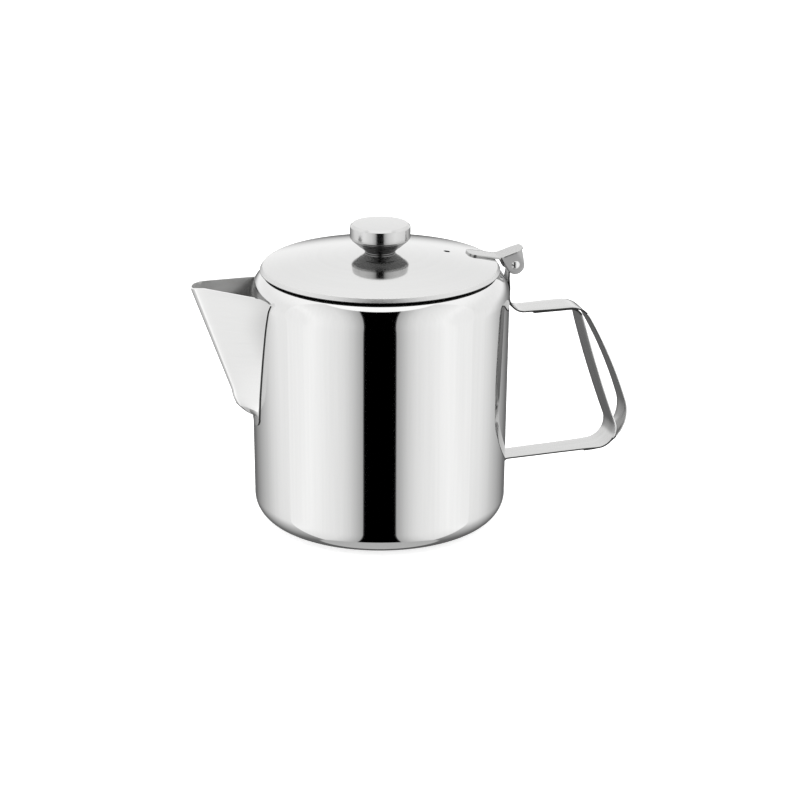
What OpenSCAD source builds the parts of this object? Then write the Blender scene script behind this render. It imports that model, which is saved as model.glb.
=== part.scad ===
// Catering teapot: a drawn steel body, an open V spout, a double-strap handle
// and a lid that hinges on the upper strap. Origin: centre of the base on the
// body's axis. +Z up, +X towards the handle, -X towards the spout. Millimetres.

/* [Body] */
// Outer radius where the wall meets the shoulder
body_r = 61; // [58:0.5:64]
// Outer radius just above the rounded base edge
base_r = 60.1; // [57:0.1:61]
// Radius of the rounded base edge
corner_r = 11.4; // [8:0.2:14]
// Height where the shoulder starts to turn in
shoulder_z = 109.5; // [100:0.5:110]
// Radius of the shoulder
shoulder_r = 14; // [12:0.5:16]
// Thickness of the drawn sheet
wall = 0.8; // [0.6:0.1:1.2]
// Radius of the mouth
mouth_r = 50; // [47:0.5:51]
// Height of the lowest edge of the mouth's turned-down lip
lip_z = 119; // [116:0.5:121]
// Radius of the rolled bead round the mouth
bead_r = 0.9; // [0.6:0.1:1]

/* [Strainer] */
// Diameter of each strainer hole
strainer_d = 4; // [3:0.5:5]
// Height of the lowest row of holes
strainer_z = 70; // [66:1:74]
// Distance between rows
strainer_pitch = 8; // [7:0.5:9]
// Number of rows
strainer_rows = 4; // [2:1:4]

/* [Spout] */
// How far the tip reaches in front of the body's axis
spout_reach = 90.2; // [86:0.2:94]
// Height of the lowest point of the rim, at the tip
spout_tip_z = 118.8; // [117:0.1:120]
// Height of the rim where its straight sides begin, close to the body
spout_rim_z = 117.1; // [115:0.1:118]
// Angle at which the rim climbs towards the tip
spout_rim_angle = 7.7; // [4:0.1:9]
// Half of the angle between the two side walls
spout_half_angle = 30.7; // [26:0.1:34]
// Rise of the front edge for each millimetre that it comes forward
spout_front_rise = 2.77; // [2.4:0.01:3.2]
// Nose radius at the tip
spout_tip_r = 5.8; // [4:0.1:8]
// Nose radius just above the heel
spout_heel_r = 3.5; // [2:0.1:5]
// Height where the straight front edge ends and the heel begins
spout_heel_z = 68; // [66:0.5:72]
// Thickness of the spout sheet and of its lip on the body
spout_t = 0.9; // [0.7:0.1:1.2]

/* [Handle] */
// Thickness of both handle straps
strap_t = 0.8; // [0.7:0.1:1.2]
// Half width of the upper strap where it leaves the body
strap_w = 8; // [7:0.25:9]
// Half width of the narrow neck that carries the hinge
neck_w = 2.8; // [2.5:0.1:4]
// Half width of the outer grip
outer_grip_w = 6.6; // [6:0.1:8]
// Half width of the inner grip
inner_grip_w = 9; // [7:0.1:9.5]
// Half width of the lower strap at the body
foot_w = 6.5; // [6:0.1:8]
// Height of the middle of the upper strap
strap_z = 97.5; // [95:0.1:99]

/* [Lid] */
// Radius of the domed part of the lid
dome_r = 55.1; // [52:0.1:56]
// Height of the dome above its own edge
dome_h = 6.2; // [4:0.1:8]
// Height of the crease between the dome and its turned-down rim
crease_z = 123.9; // [123.5:0.1:126]
// How far the rim reaches out past the crease
rim_out = 1.4; // [0.8:0.1:2]
// How far the rim drops below the crease
rim_drop = 2.1; // [1.5:0.1:2.4]
// Diameter of the steam vent
vent_d = 3; // [2:0.5:4]
// Distance of the steam vent from the axis
vent_x = 32.5; // [28:0.5:38]

/* [Hinge] */
// Distance of the hinge pin from the body's axis
pin_x = 65; // [64:0.1:67]
// Height of the hinge pin
pin_z = 120.3; // [119:0.1:122]
// Diameter of the hinge pin
pin_d = 3; // [2.5:0.1:3.4]
// Radial running clearance between the pin and the strap's knuckle
pin_gap = 0.05; // [0.02:0.01:0.1]
// Diameter of the domed pin heads
pin_head_d = 4.2; // [3.8:0.1:5]
// Half width of the hinge bracket
bracket_w = 5.4; // [5:0.1:7]
// Thickness of the hinge bracket
bracket_t = 0.8; // [0.6:0.1:1]
// Radius of the ears round the pin
ear_r = 4.4; // [3.8:0.1:5]

/* [Knob] */
// Height of the knob's flat top
knob_top_z = 143.7; // [140:0.5:148]
// Radius of the knob's cap
knob_r = 14.2; // [12:0.1:16]
// Height of the cap's straight side
knob_side_h = 6.6; // [5:0.1:8]
// Radius of the knob's neck at the lid
knob_neck_r = 7.2; // [6:0.1:8]
// Diameter of the screw that holds the knob
screw_d = 4; // [3:0.5:5]

/* [Hidden] */
$fn = 96;
eps = 0.01;
steel = "silver";
satin = "lightgray";

// Lid: the dome is part of a sphere through the crease
dome_sphere_r = (dome_r * dome_r + dome_h * dome_h) / (2 * dome_h);
dome_top_z = crease_z + dome_h;
dome_under_z = dome_top_z - wall;

// Spout: the front edge and the nose radius both change evenly with height
spout_top_z = 126;
spout_open_x = -48;
// The heel's rounded end, as [drop below the heel, set back from the front edge]
heel_steps = [[0, 0], [3.2, 0.6], [7.3, 2.2], [11, 5.9], [13, 9]];
heel_taper = 0.15;
// Half width of the spout where it meets the body, as [half width, height]
seam = [[2.6, 50.2], [4.9, 51.4], [6.8, 55], [8.3, 65.2], [10.4, 73], [13.4, 88], [16.3, 102.4],
    [20.1, 114], [21, 126]];
seam_lip = 0.7;
// Side view of the rim, from the body to the tip
rim_x = body_r + 2.5;
crest_x = spout_reach - 5.5;
crest_z = spout_rim_z + (crest_x - rim_x) * tan(spout_rim_angle);
rim_line = [[spout_open_x, spout_rim_z - 7.5], [-rim_x + 7.5, spout_rim_z - 4], [-rim_x + 5, spout_rim_z - 1.9],
    [-rim_x + 2.5, spout_rim_z - 0.6], [-crest_x, crest_z], [-spout_reach + 2.2, crest_z - 0.3],
    [-spout_reach, spout_tip_z], [-spout_reach - 4, spout_tip_z - 2.2]];

// Handle: centre line of each strap, from its upper end to its lower end
weld_gap = 0.35;
upright_x = body_r + weld_gap + strap_t / 2;
knuckle_r = pin_d / 2 + pin_gap;
curl_r = knuckle_r + strap_t / 2;
weld_z = 106.3;
lean = atan((pin_x - curl_r - upright_x) / (pin_z - weld_z));
foot_slope = 2.2;
strap_tilt = 1;

// Each step is [length or radius, turn in degrees]: a turn of 0 is a straight run
outer_steps = [[(pin_z - weld_z) / cos(lean), 0], [10, lean], [8, 90 + strap_tilt], [22, 0],
    [12.5, -60 - strap_tilt], [227.5, -12], [18.2, -108 + foot_slope], [4, 0]];
inner_steps = [[18.7, 0], [6, -74.75 - strap_tilt], [600.5, 5.5], [9.5, -110.75 + foot_slope], [45.15, 0],
    [2.2, 90 - foot_slope], [1.5, 0]];

// Knob: heights of its parts
cap_side_z = knob_top_z - knob_side_h;
washer_t = 0.8;
screw_head_h = 2.2;

// Points of an arc that starts at p with heading h, radius r and signed turn a
function arc_points(p, h, r, a) =
    let (s = a > 0 ? 1 : -1, c = p + s * r * [-sin(h), cos(h)], n = ceil(abs(a) / 6))
    [for (i = [1:n]) let (b = h + a * i / n) [c + s * r * [sin(b), -cos(b)], b]];

// Walks through the steps and returns [point, heading] pairs
function walk(p, h, steps, i = 0) =
    i == len(steps) ? [[p, h]] :
    let (size = steps[i][0], turn = steps[i][1])
    let (run = turn == 0 ? [[p + size * [cos(h), sin(h)], h]] : arc_points(p, h, size, turn))
    let (last = run[len(run) - 1])
    concat([[p, h]], [for (j = [0:1:len(run) - 2]) run[j]], walk(last[0], last[1], steps, i + 1));

// Side view of a bent sheet of thickness t whose centre line follows the steps
module bent_sheet(p, h, steps, t) {
    path = walk(p, h, steps);
    left = [for (q = path) q[0] + t / 2 * [-sin(q[1]), cos(q[1])]];
    right = [for (i = [len(path) - 1:-1:0]) path[i][0] - t / 2 * [-sin(path[i][1]), cos(path[i][1])]];
    polygon(concat(left, right));
}

// Extrudes a side view (X, Z) to the given half width on both sides of the centre plane
module across(half_width) {
    rotate([90, 0, 0]) linear_extrude(2 * half_width, center = true) children();
}

// Plan outline, symmetric about X, from [x, half width] pairs; cut is the height range
module plan_guide(stations, low, high) {
    back = [for (i = [len(stations) - 1:-1:0]) [stations[i][0], -stations[i][1]]];
    translate([0, 0, low]) linear_extrude(high - low) polygon(concat(stations, back));
}

// Front outline, symmetric about the centre plane, from [half width, z] pairs
module front_guide(stations, low_x, high_x) {
    back = [for (i = [len(stations) - 1:-1:0]) [-stations[i][0], stations[i][1]]];
    translate([low_x, 0, 0]) rotate([90, 0, 90]) linear_extrude(high_x - low_x) polygon(concat(stations, back));
}

// Half section of the body's outside, moved inwards by inset
module body_section(inset) {
    corner_x = base_r - corner_r;
    shoulder_x = body_r - shoulder_r;
    top_z = shoulder_z + shoulder_r - inset;
    polygon([[0, inset], [corner_x, inset], [base_r - inset, corner_r], [body_r - inset, shoulder_z],
        [shoulder_x, top_z], [0, top_z]]);
    translate([corner_x, corner_r]) circle(corner_r - inset);
    translate([shoulder_x, shoulder_z]) circle(shoulder_r - inset);
}

// The body's outside as a solid
module body_solid(inset) {
    rotate_extrude() body_section(inset);
}

// Centres of the strainer holes, as [y, z]: each higher row is one hole longer
function strainer_spots() = [for (row = [0:strainer_rows - 1], k = [0:row + 1])
    [(k - (row + 1) / 2) * strainer_pitch * 0.72, strainer_z + row * strainer_pitch]];

module body_shell() {
    bead_z = shoulder_z + sqrt(shoulder_r * shoulder_r - pow(mouth_r - body_r + shoulder_r, 2)) - 0.1;
    color(steel) difference() {
        rotate_extrude() {
            difference() {
                body_section(0);
                body_section(wall);
                square([mouth_r, shoulder_z + 2 * shoulder_r]);
                translate([0, wall]) square([mouth_r, shoulder_z]);
            }
            square([mouth_r + eps, wall]);
            translate([mouth_r, lip_z]) square([wall, bead_z - lip_z]);
            translate([mouth_r + bead_r, bead_z]) circle(bead_r, $fn = 32);
        }
        for (spot = strainer_spots())
            translate([-body_r - 2, spot[0], spot[1]]) rotate([0, 90, 0])
                cylinder(d = strainer_d, h = 8, $fn = 32);
    }
}

// Level slice of the spout at height z: nose radius r, open side inside the body, moved inwards by inset
module spout_slice(z, set_back, r, inset) {
    centre_x = -spout_reach - (z - spout_tip_z) / spout_front_rise + set_back + r;
    open_w = (spout_open_x - centre_x) * tan(spout_half_angle) + r / cos(spout_half_angle);
    translate([0, 0, z]) linear_extrude(eps) {
        translate([centre_x, 0]) circle(r - inset, $fn = 32);
        translate([spout_open_x, -open_w + inset]) square([1, 2 * (open_w - inset)]);
    }
}

// Front view of the spout at the body, made wider by grow
module seam_block(grow, low_x, high_x) {
    stations = [for (point = seam) [point[0] + grow, point[1] - (point[1] < 51 ? grow : 0)]];
    front_guide(stations, low_x, high_x);
}

// The spout's outer form, moved inwards by inset: a V whose sides turn parallel just before the body
module spout_form(inset) {
    rise = (spout_tip_r - spout_heel_r) / (spout_tip_z - spout_heel_z);
    last = len(heel_steps) - 1;
    intersection() {
        hull() {
            spout_slice(spout_top_z, 0, spout_heel_r + rise * (spout_top_z - spout_heel_z), inset);
            for (i = [0:last]) {
                drop = heel_steps[i][0] - (i == last ? inset : 0);
                back = heel_steps[i][1] - drop / spout_front_rise;
                spout_slice(spout_heel_z - drop, back, spout_heel_r - heel_taper * i, inset);
            }
        }
        seam_block(-inset, -spout_reach - 10, spout_open_x);
    }
}

module spout() {
    above_z = 150;
    above_rim = concat(rim_line, [[-spout_reach - 4, above_z], [spout_open_x, above_z]]);
    color(steel) difference() {
        union() {
            spout_form(0);
            intersection() {
                body_solid(-spout_t);
                seam_block(seam_lip, -body_r - 5, spout_open_x);
            }
        }
        spout_form(spout_t);
        body_solid(0);
        across(body_r) polygon(above_rim);
    }
}

module handle_outer_strap() {
    plan = [[body_r - 1, strap_w - 1], [body_r + 5, strap_w - 1], [86, strap_w], [96, strap_w],
        [104, outer_grip_w + 0.4], [130, outer_grip_w]];
    neck = [[strap_w - 1, weld_z - 1], [strap_w - 1, weld_z], [neck_w, pin_z - 4], [neck_w, pin_z + 3]];
    nugget_d = 3;
    nugget_y = 3.5;
    nugget_z = weld_z + 1;
    front = [[foot_w + 0.4, 20], [foot_w + 0.4, 34], [outer_grip_w, 52], [outer_grip_w, 90]];
    start = [pin_x - curl_r, pin_z];
    color(satin) difference() {
        union() {
            intersection() {
                across(2 * strap_w) bent_sheet(start, -90 - lean, outer_steps, strap_t);
                union() {
                    plan_guide(plan, 90, weld_z - 1 + eps);
                    front_guide(neck, body_r - 2, body_r + 8);
                    front_guide(front, body_r + 20, 140);
                }
            }
            translate([pin_x, 0, pin_z]) across(neck_w) circle(knuckle_r + strap_t);
            for (y = [-nugget_y, nugget_y]) translate([body_r - 0.2, y, nugget_z]) rotate([0, 90, 0])
                cylinder(d = nugget_d, h = weld_gap + 0.4);
        }
        translate([pin_x, 0, pin_z]) across(2 * neck_w) circle(knuckle_r);
    }
}

module handle_inner_strap() {
    plan = [[body_r - 2, foot_w], [100, foot_w + 0.6], [112, inner_grip_w - 0.3], [130, inner_grip_w]];
    front = [[inner_grip_w, 36], [inner_grip_w, 88], [strap_w - 0.6, 95], [strap_w - 0.6, 100]];
    color(satin) intersection() {
        across(2 * strap_w) bent_sheet([74, strap_z - strap_t], strap_tilt, inner_steps, strap_t);
        union() {
            plan_guide(plan, 0, 36 + eps);
            front_guide(front, body_r, 140);
        }
    }
}

// Height of the dome's sphere of radius r at distance x from the axis
function dome_z(x, r) = dome_top_z - dome_sphere_r + sqrt(r * r - x * x);

// Half section of the lid: the dome's outside, the turned-down rim, then the dome's underside
module lid_section() {
    rim_r = dome_r + rim_out;
    rim_z = crease_z - rim_drop;
    last = 24;
    outside = [for (i = [0:last]) let (x = dome_r * i / last) [x, dome_z(x, dome_sphere_r)]];
    underside = [for (i = [last:-1:0]) let (x = (dome_r - wall) * i / last) [x, dome_z(x, dome_sphere_r - wall)]];
    polygon(concat(outside, [[rim_r, rim_z + 0.3], [rim_r, rim_z], [rim_r - wall, rim_z]], underside));
}

module lid() {
    color(steel) difference() {
        rotate_extrude() lid_section();
        translate([vent_x, 0, crease_z]) cylinder(d = vent_d, h = 2 * dome_h, $fn = 32);
        translate([0, 0, crease_z]) cylinder(d = screw_d + 0.2, h = 2 * dome_h, $fn = 32);
    }
}

// Plan of one half of the bracket: a rounded end at x, running on to below the pin
module rounded_end(x, r, way) {
    for (side = [-1, 1]) translate([x + way * r, side * (bracket_w - r)]) circle(r);
    translate([min(x, x + way * r), -bracket_w + r]) square([r, 2 * (bracket_w - r)]);
    translate([min(x + way * r, pin_x - 4), -bracket_w]) square([abs(pin_x - 4 - x - way * r), 2 * bracket_w]);
}

module hinge_bracket() {
    tongue_x = 42.5;
    tongue_z = 126.4 + bracket_t / 2;
    tongue_end_r = 3.5;
    thumb_x = 69.6;
    thumb_end_r = 4.5;
    bends = [[14.2, 0], [2.4, 28.3], [13, 0]];
    ear_points = [[-6.8, 4], [3, 6.8], [4.2, 1.3], [0, 0], [-4.1, -1.6]];
    color(satin) difference() {
        union() {
            intersection() {
                across(bracket_w) bent_sheet([tongue_x, tongue_z], -10.6, bends, bracket_t);
                translate([0, 0, 120]) linear_extrude(12) {
                    rounded_end(tongue_x, tongue_end_r, 1);
                    rounded_end(thumb_x, thumb_end_r, -1);
                }
            }
            for (side = [-1, 1])
                translate([pin_x, side * (bracket_w - bracket_t / 2), pin_z]) across(bracket_t / 2) {
                    circle(ear_r);
                    polygon(ear_points);
                }
        }
        translate([pin_x, 0, pin_z]) across(2 * bracket_w) circle(pin_d / 2);
    }
}

module hinge_pin() {
    head_h = 0.9;
    head_sphere_r = (pow(pin_head_d / 2, 2) + head_h * head_h) / (2 * head_h);
    color(steel) translate([pin_x, 0, pin_z]) rotate([90, 0, 0]) {
        cylinder(d = pin_d, h = 2 * bracket_w, center = true);
        for (side = [0, 1]) mirror([0, 0, side]) translate([0, 0, bracket_w]) rotate_extrude()
            intersection() {
                translate([0, head_h - head_sphere_r]) circle(head_sphere_r);
                square([pin_head_d, head_h]);
            }
    }
}

module knob_cap() {
    chamfer = 1.2;
    sheet = 1;
    color(satin) rotate_extrude()
        polygon([[0, knob_top_z], [knob_r - chamfer, knob_top_z], [knob_r, knob_top_z - chamfer],
            [knob_r, cap_side_z], [knob_r - 0.9, cap_side_z - 0.9], [knob_r - 1.6, cap_side_z - 0.2],
            [knob_r - sheet, cap_side_z + 0.4], [knob_r - sheet, knob_top_z - chamfer - 0.4],
            [knob_r - chamfer - 0.4, knob_top_z - sheet], [0, knob_top_z - sheet]]);
}

module knob_base() {
    rim_r = knob_r - 1.6;
    rim_z = cap_side_z - 0.2;
    step_r = 9.9;
    step_z = rim_z - 3.9;
    bore_top_z = rim_z - 1.5;
    color(satin) rotate_extrude()
        polygon([[screw_d / 2, dome_top_z], [knob_neck_r, dome_top_z], [knob_neck_r, dome_top_z + 0.6],
            [step_r - 0.6, step_z - 0.3], [step_r, step_z], [rim_r + 0.9, rim_z - 0.7], [rim_r, rim_z],
            [rim_r - 1, rim_z], [step_r - 0.8, step_z + 1], [5, step_z + 1], [5, bore_top_z + 1],
            [0, bore_top_z + 1], [0, bore_top_z], [screw_d / 2, bore_top_z]]);
}

module knob_washer() {
    color(steel) translate([0, 0, dome_under_z - washer_t]) difference() {
        cylinder(d = 12, h = washer_t);
        translate([0, 0, -1]) cylinder(d = screw_d + 0.2, h = washer_t + 2, $fn = 32);
    }
}

module knob_screw() {
    head_z = dome_under_z - washer_t - screw_head_h;
    head_sphere_r = 5;
    color(steel) difference() {
        union() {
            translate([0, 0, head_z + screw_head_h]) cylinder(d = screw_d, h = 7, $fn = 32);
            intersection() {
                translate([0, 0, head_z]) cylinder(d = 7.6, h = screw_head_h);
                translate([0, 0, head_z + head_sphere_r]) sphere(head_sphere_r);
            }
        }
        for (turn = [0, 90]) rotate(turn) translate([-2.2, -0.5, head_z - 1]) cube([4.4, 1, 2.2]);
    }
}

body_shell();
spout();
handle_outer_strap();
handle_inner_strap();
lid();
hinge_bracket();
hinge_pin();
knob_cap();
knob_base();
knob_washer();
knob_screw();
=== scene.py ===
import math

import bmesh
import bpy
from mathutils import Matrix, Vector


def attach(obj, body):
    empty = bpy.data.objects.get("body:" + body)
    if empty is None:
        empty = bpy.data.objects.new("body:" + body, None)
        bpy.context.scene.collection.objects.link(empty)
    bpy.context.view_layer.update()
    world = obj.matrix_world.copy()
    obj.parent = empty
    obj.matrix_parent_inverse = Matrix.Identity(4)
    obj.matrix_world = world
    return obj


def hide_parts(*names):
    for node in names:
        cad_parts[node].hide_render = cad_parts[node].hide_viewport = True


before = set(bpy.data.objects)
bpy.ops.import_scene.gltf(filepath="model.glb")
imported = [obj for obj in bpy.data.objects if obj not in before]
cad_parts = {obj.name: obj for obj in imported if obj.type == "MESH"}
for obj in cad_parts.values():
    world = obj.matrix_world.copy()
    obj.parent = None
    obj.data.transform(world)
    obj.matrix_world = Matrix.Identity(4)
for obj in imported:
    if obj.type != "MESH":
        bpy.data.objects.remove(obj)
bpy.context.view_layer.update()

# Lengths below are millimetres in the CAD's frame: +X to the handle, -X to the spout, +Z up.
MM = 0.001
SHARP = 32.0  # edges that turn by more degrees than this are shaded sharp
CAMERA_PLACE = Vector((-272.36, -1053.71, 438.66))
CAMERA_TARGET = Vector((9.31, -2.49, 56.5))
CAMERA_LENS, CAMERA_ROLL = 108.6, 0.005
CAMERA_DIRECTION = Vector((*CAMERA_PLACE.xy.normalized(), 0.0))  # level, from the pot to the camera
CAMERA_SIDE = Vector((-CAMERA_DIRECTION.y, CAMERA_DIRECTION.x, 0.0))


# ---------------------------------------------------------------- mesh helpers

def make_piece(name, bm, body, nodes, material, sharp=SHARP):
    """Turns a bmesh in millimetres into a smooth-shaded piece that stands for its CAD nodes."""
    bmesh.ops.remove_doubles(bm, verts=bm.verts, dist=1e-4)
    bmesh.ops.dissolve_degenerate(bm, dist=1e-4, edges=bm.edges)
    bmesh.ops.recalc_face_normals(bm, faces=bm.faces)
    bmesh.ops.scale(bm, vec=(MM, MM, MM), verts=bm.verts)
    mesh = bpy.data.meshes.new(name)
    bm.to_mesh(mesh)
    bm.free()
    for polygon in mesh.polygons:
        polygon.use_smooth = True
    mesh.set_sharp_from_angle(angle=math.radians(sharp))
    piece = bpy.data.objects.new(name, mesh)
    bpy.context.scene.collection.objects.link(piece)
    piece.data.materials.append(material)
    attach(piece, body)
    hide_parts(*nodes)
    return piece


def paint(piece, material, chosen):
    """Gives a further material to the faces whose centre in millimetres and normal pass the test."""
    piece.data.materials.append(material)
    index = len(piece.data.materials) - 1
    for polygon in piece.data.polygons:
        if chosen(polygon.center / MM, polygon.normal):
            polygon.material_index = index


def fillet(points):
    """Rounds the corners of a line of (x, y, radius) points, in steps of about 8 degrees."""
    out = []
    for i, (x, y, r) in enumerate(points):
        corner = Vector((x, y))
        if r <= 0 or i in (0, len(points) - 1):
            out.append(corner)
            continue
        a = (Vector(points[i - 1][:2]) - corner).normalized()
        b = (Vector(points[i + 1][:2]) - corner).normalized()
        half = a.angle(b) / 2
        centre = corner + (a + b).normalized() * (r / math.sin(half))
        start = corner + a * (r / math.tan(half)) - centre
        turn = start.angle_signed(corner + b * (r / math.tan(half)) - centre)
        steps = max(2, math.ceil(abs(math.degrees(turn)) / 8))
        for k in range(steps + 1):
            t = -turn * k / steps
            out.append(centre + Vector((start.x * math.cos(t) - start.y * math.sin(t),
                                        start.x * math.sin(t) + start.y * math.cos(t))))
    return out


def arc(cx, cz, r, start, end, steps):
    """Points of a circle's arc between two angles in degrees."""
    angles = [math.radians(start + (end - start) * k / steps) for k in range(steps + 1)]
    return [Vector((cx + r * math.cos(a), cz + r * math.sin(a))) for a in angles]


def revolve(profile, segments, closed, centre=(0.0, 0.0)):
    """Turns a (radius, z) profile round a vertical axis."""
    bm = bmesh.new()
    rings = []
    for r, z in profile:
        if r < 1e-5:
            rings.append([bm.verts.new((centre[0], centre[1], z))] * segments)
            continue
        ring = []
        for k in range(segments):
            a = 2 * math.pi * k / segments
            ring.append(bm.verts.new((centre[0] + r * math.cos(a), centre[1] + r * math.sin(a), z)))
        rings.append(ring)
    count = len(rings) if closed else len(rings) - 1
    for i in range(count):
        low, high = rings[i], rings[(i + 1) % len(rings)]
        for k in range(segments):
            n = (k + 1) % segments
            corners = []
            for v in (low[k], low[n], high[n], high[k]):
                if v not in corners:
                    corners.append(v)
            if len(corners) > 2:
                bm.faces.new(corners)
    return bm


def skin(bm, rows, wrap):
    """Joins rows of points into faces; wrap also joins each row's last point to its first."""
    made = [[bm.verts.new(p) for p in row] for row in rows]
    for a, b in zip(made, made[1:]):
        n = len(a)
        for k in range(n if wrap else n - 1):
            bm.faces.new((a[k], a[(k + 1) % n], b[(k + 1) % n], b[k]))
    return made


def walk(point, heading, steps):
    """Samples a path in the XZ plane, as (point, heading, length so far).

    A step is [length, 0] for a straight run or [radius, turn in degrees] for a bend.
    """
    p, h, s = Vector(point), heading, 0.0
    path = [(p.copy(), h, s)]
    for size, turn in steps:
        if turn == 0:
            pieces = max(1, math.ceil(size / 4))
            step = Vector((math.cos(math.radians(h)), math.sin(math.radians(h)))) * (size / pieces)
            for _ in range(pieces):
                p = p + step
                s += size / pieces
                path.append((p.copy(), h, s))
            continue
        side = 1 if turn > 0 else -1
        centre = p + side * size * Vector((-math.sin(math.radians(h)), math.cos(math.radians(h))))
        pieces = max(2, math.ceil(abs(turn) / 3), math.ceil(size * abs(math.radians(turn)) / 5))
        for k in range(1, pieces + 1):
            b = math.radians(h + turn * k / pieces)
            p = centre + side * size * Vector((math.sin(b), -math.cos(b)))
            path.append((p.copy(), h + turn * k / pieces,
                         s + size * abs(math.radians(turn)) * k / pieces))
        h += turn
        s += size * abs(math.radians(turn))
    return path


def smooth_between(stations, s):
    """Value at s from (position, value) stations, eased between them."""
    for (s0, v0), (s1, v1) in zip(stations, stations[1:]):
        if s <= s1:
            t = min(max((s - s0) / (s1 - s0), 0.0), 1.0)
            return v0 + (v1 - v0) * t * t * (3 - 2 * t)
    return stations[-1][1]


def rounded_section(half_width, thickness, r):
    """Points round a strip's cross-section, as (across, along the normal)."""
    t = thickness / 2
    out = []
    for sx, sz, start in ((1, 1, 0), (-1, 1, 90), (-1, -1, 180), (1, -1, 270)):
        for k in range(5):
            a = math.radians(start + 22.5 * k)
            out.append((sx * (half_width - r) + r * math.cos(a), sz * (t - r) + r * math.sin(a)))
        if sz == 1 and sx == 1:
            out += [(half_width * 0.5, t), (0.0, t), (-half_width * 0.5, t)]
        if sz == -1 and sx == -1:
            out += [(-half_width * 0.5, -t), (0.0, -t), (half_width * 0.5, -t)]
    return out


def strip(bm, path, half_widths, thickness, r):
    """Sweeps a rounded strip along a path in the XZ plane and closes both ends."""
    rows = []
    for (p, h, _), w in zip(path, half_widths):
        normal = Vector((-math.sin(math.radians(h)), math.cos(math.radians(h))))
        rows.append([(p.x + n * normal.x, a, p.y + n * normal.y)
                     for a, n in rounded_section(w, thickness, r)])
    made = skin(bm, rows, True)
    bm.faces.new(made[0])
    bm.faces.new(list(reversed(made[-1])))


# ------------------------------------------------------------------- materials

def metal(name, colour, roughness, streaks, roughness_spread, bump, bump_distance=0.00003, anisotropy=0.0,
          turned=False, tone=0.04):
    """A steel with fine marks.

    streaks is the scale of the marks along X, Y and Z, in marks per metre. Turned marks run round the
    vertical axis: X is then the distance from it. tone is how much the marks change the colour.
    """
    m = bpy.data.materials.new(name)
    m.use_nodes = True
    nodes, links = m.node_tree.nodes, m.node_tree.links
    shader = nodes["Principled BSDF"]
    shader.inputs["Metallic"].default_value = 1.0
    shader.inputs["Anisotropic"].default_value = anisotropy
    coordinates = nodes.new("ShaderNodeTexCoord")
    source = coordinates.outputs["Object"]
    if turned:
        flat = nodes.new("ShaderNodeVectorMath")
        flat.operation = "MULTIPLY"
        flat.inputs[1].default_value = (1, 1, 0)
        links.new(source, flat.inputs[0])
        length = nodes.new("ShaderNodeVectorMath")
        length.operation = "LENGTH"
        links.new(flat.outputs["Vector"], length.inputs[0])
        split = nodes.new("ShaderNodeSeparateXYZ")
        links.new(source, split.inputs[0])
        joined = nodes.new("ShaderNodeCombineXYZ")
        links.new(length.outputs["Value"], joined.inputs["X"])
        links.new(split.outputs["Z"], joined.inputs["Z"])
        source = joined.outputs["Vector"]
    mapping = nodes.new("ShaderNodeMapping")
    mapping.inputs["Scale"].default_value = streaks
    links.new(source, mapping.inputs["Vector"])
    fine = nodes.new("ShaderNodeTexNoise")
    fine.inputs["Scale"].default_value = 1.0
    fine.inputs["Detail"].default_value = 3.0
    fine.inputs["Roughness"].default_value = 0.6
    links.new(mapping.outputs["Vector"], fine.inputs["Vector"])
    cloudy = nodes.new("ShaderNodeTexNoise")
    cloudy.inputs["Scale"].default_value = 45.0
    cloudy.inputs["Detail"].default_value = 2.0
    links.new(coordinates.outputs["Object"], cloudy.inputs["Vector"])
    blend = nodes.new("ShaderNodeMix")
    blend.data_type = "FLOAT"
    blend.inputs["Factor"].default_value = 0.25
    links.new(fine.outputs["Fac"], blend.inputs["A"])
    links.new(cloudy.outputs["Fac"], blend.inputs["B"])
    spread = nodes.new("ShaderNodeMapRange")
    spread.inputs["From Min"].default_value = 0.3
    spread.inputs["From Max"].default_value = 0.7
    spread.inputs["To Min"].default_value = roughness - roughness_spread
    spread.inputs["To Max"].default_value = roughness + roughness_spread
    links.new(blend.outputs["Result"], spread.inputs["Value"])
    links.new(spread.outputs["Result"], shader.inputs["Roughness"])
    shade = nodes.new("ShaderNodeMix")
    shade.data_type = "RGBA"
    shade.inputs["A"].default_value = (*[c * (1 - tone) for c in colour], 1)
    shade.inputs["B"].default_value = (*[min(1.0, c * (1 + tone)) for c in colour], 1)
    links.new(fine.outputs["Fac"], shade.inputs["Factor"])
    links.new(shade.outputs["Result"], shader.inputs["Base Color"])
    relief = nodes.new("ShaderNodeBump")
    relief.inputs["Strength"].default_value = bump
    relief.inputs["Distance"].default_value = bump_distance
    links.new(fine.outputs["Fac"], relief.inputs["Height"])
    links.new(relief.outputs["Normal"], shader.inputs["Normal"])
    return m


# The pot is one steel. The greys differ so that each piece has its tone in this studio, several of them as
# painted light and shade, and the near-black steel is painted shade on thin edges and undersides: these are
# looks, not different alloys.
polished = metal("polished_steel", (0.60, 0.60, 0.597), 0.045, (700, 700, 10), 0.015, 0.02, 0.00002)
body_inside = metal("body_inside_steel", (0.78, 0.78, 0.775), 0.34, (700, 700, 10), 0.05, 0.1)
lid_polish = metal("lid_steel", (0.53, 0.53, 0.527), 0.09, (500, 500, 500), 0.02, 0.02, 0.00002, turned=True)
lid_under = metal("lid_underside_steel", (0.50, 0.50, 0.497), 0.30, (400, 400, 400), 0.06, 0.1, turned=True)
rim_satin = metal("lid_rim_steel", (0.56, 0.56, 0.557), 0.36, (900, 900, 900), 0.05, 0.1)
spout_polish = metal("spout_steel", (0.70, 0.70, 0.696), 0.12, (60, 60, 900), 0.04, 0.05, 0.00002)
# The spout's inside is rougher than its outside, and its darker grey is painted shade.
spout_inside = metal("spout_inside_steel", (0.46, 0.46, 0.457), 0.34, (60, 60, 900), 0.06, 0.1)
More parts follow.
